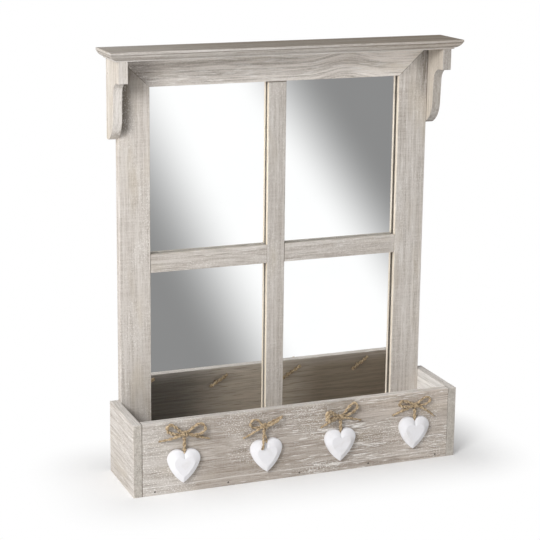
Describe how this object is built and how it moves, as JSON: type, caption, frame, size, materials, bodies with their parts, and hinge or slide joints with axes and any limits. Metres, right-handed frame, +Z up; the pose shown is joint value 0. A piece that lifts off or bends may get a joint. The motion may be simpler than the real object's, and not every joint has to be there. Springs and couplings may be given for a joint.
{
  "type": "dressing table mirror",
  "caption": "Window-style mirror in limed wood with glazing bars, a moulded cornice shelf on brackets and a foot trough whose front carries hearts hung on twine bows.",
  "frame": {"origin": "middle of the trough's footprint, on its underside", "axes": "+Z up, +X to the right of someone facing the glass, -Y towards them, so the back lies at +Y"},
  "size_m": [0.515, 0.1289, 0.6],
  "materials": {
    "limed_wood": "grey-beige limewash, dry-brushed",
    "white_paint": "matt white paint",
    "jute": "twisted jute twine",
    "mirror": "silvered glass",
    "hardboard": "bare hardboard",
    "steel": "bright zinc"
  },
  "bodies": {
    "mirror": {"left_stile": "limed_wood", "right_stile": "limed_wood", "top_rail": "limed_wood", "bottom_rail": "limed_wood", "vertical_glazing_bar": "limed_wood", "left_glazing_bar": "limed_wood", "right_glazing_bar": "limed_wood", "cornice_shelf": "limed_wood", "left_bracket": "limed_wood", "right_bracket": "limed_wood", "trough_front": "limed_wood", "trough_left_side": "limed_wood", "trough_right_side": "limed_wood", "trough_base": "limed_wood", "mirror_glass": "mirror", "backing_board": "hardboard", "trough_front_pins": "steel", "trough_side_pins": "steel", "bracket_pins": "steel", "cornice_pins": "steel", "corner_nails": "steel", "backing_tabs": "steel", "hanger_screws": "steel", "left_hanger_strap": "steel", "right_hanger_strap": "steel", "bow_1": "jute", "bow_2": "jute", "bow_3": "jute", "bow_4": "jute", "inner_knot_1": "jute", "inner_knot_2": "jute", "inner_knot_3": "jute", "inner_knot_4": "jute"},
    "knot_1": {"knot_wrap_1": "jute"},
    "hanging_heart_1": {"heart_1": "white_paint", "heart_cord_1": "jute"},
    "knot_2": {"knot_wrap_2": "jute"},
    "hanging_heart_2": {"heart_2": "white_paint", "heart_cord_2": "jute"},
    "knot_3": {"knot_wrap_3": "jute"},
    "hanging_heart_3": {"heart_3": "white_paint", "heart_cord_3": "jute"},
    "knot_4": {"knot_wrap_4": "jute"},
    "hanging_heart_4": {"heart_4": "white_paint", "heart_cord_4": "jute"},
    "left_ring": {"left_hanger_ring": "steel"},
    "right_ring": {"right_hanger_ring": "steel"}
  },
  "joints": [
    {"name": "heart_1_lift", "type": "hinge", "parent": "mirror", "child": "knot_1", "pos_m": [-0.1725, -0.05974, 0.0855], "axis": [-1, 0, 0], "range_deg": [0, 60]},
    {"name": "heart_1_swing", "type": "hinge", "parent": "knot_1", "child": "hanging_heart_1", "pos_m": [-0.1725, -0.05974, 0.0855], "axis": [0, 1, 0], "range_deg": [-12, 12]},
    {"name": "heart_2_lift", "type": "hinge", "parent": "mirror", "child": "knot_2", "pos_m": [-0.0565, -0.05974, 0.0825], "axis": [-1, 0, 0], "range_deg": [0, 60]},
    {"name": "heart_2_swing", "type": "hinge", "parent": "knot_2", "child": "hanging_heart_2", "pos_m": [-0.0565, -0.05974, 0.0825], "axis": [0, 1, 0], "range_deg": [-12, 12]},
    {"name": "heart_3_lift", "type": "hinge", "parent": "mirror", "child": "knot_3", "pos_m": [0.0595, -0.05974, 0.082], "axis": [-1, 0, 0], "range_deg": [0, 60]},
    {"name": "heart_3_swing", "type": "hinge", "parent": "knot_3", "child": "hanging_heart_3", "pos_m": [0.0595, -0.05974, 0.082], "axis": [0, 1, 0], "range_deg": [-12, 12]},
    {"name": "heart_4_lift", "type": "hinge", "parent": "mirror", "child": "knot_4", "pos_m": [0.1755, -0.05974, 0.0855], "axis": [-1, 0, 0], "range_deg": [0, 60]},
    {"name": "heart_4_swing", "type": "hinge", "parent": "knot_4", "child": "hanging_heart_4", "pos_m": [0.1755, -0.05974, 0.0855], "axis": [0, 1, 0], "range_deg": [-12, 12]},
    {"name": "left_ring_turn", "type": "hinge", "parent": "mirror", "child": "left_ring", "pos_m": [-0.2088, 0.05738, 0.52], "axis": [1, 0, 0], "range_deg": [0, 178]},
    {"name": "right_ring_turn", "type": "hinge", "parent": "mirror", "child": "right_ring", "pos_m": [0.2088, 0.05738, 0.52], "axis": [1, 0, 0], "range_deg": [0, 178]}
  ]
}
